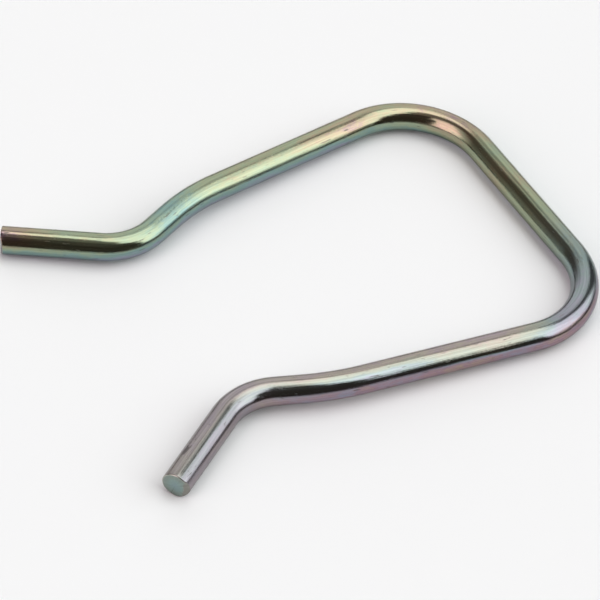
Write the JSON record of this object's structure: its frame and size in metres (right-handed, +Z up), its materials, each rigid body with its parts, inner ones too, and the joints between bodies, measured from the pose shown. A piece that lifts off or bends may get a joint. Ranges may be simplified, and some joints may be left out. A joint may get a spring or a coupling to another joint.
{
  "type": "hitch bail clip",
  "caption": "Hitch clip bent from round bar: a crossbar, two arms that draw together to a throat, and two flared free tips that spring into holes.",
  "frame": {"origin": "under the middle of the clip's box, on the surface that it lies on", "axes": "+X from the tips to the crossbar, +Y across the clip, +Z up, with the clip lying on its crossbar and on the rims of its tips"},
  "size_m": [0.1484, 0.1094, 0.01],
  "materials": {
    "zinc": "yellow passivated zinc plating, bright, with faint rainbow tints"
  },
  "bodies": {
    "root": {"clip_bar": "zinc"}
  },
  "joints": []
}
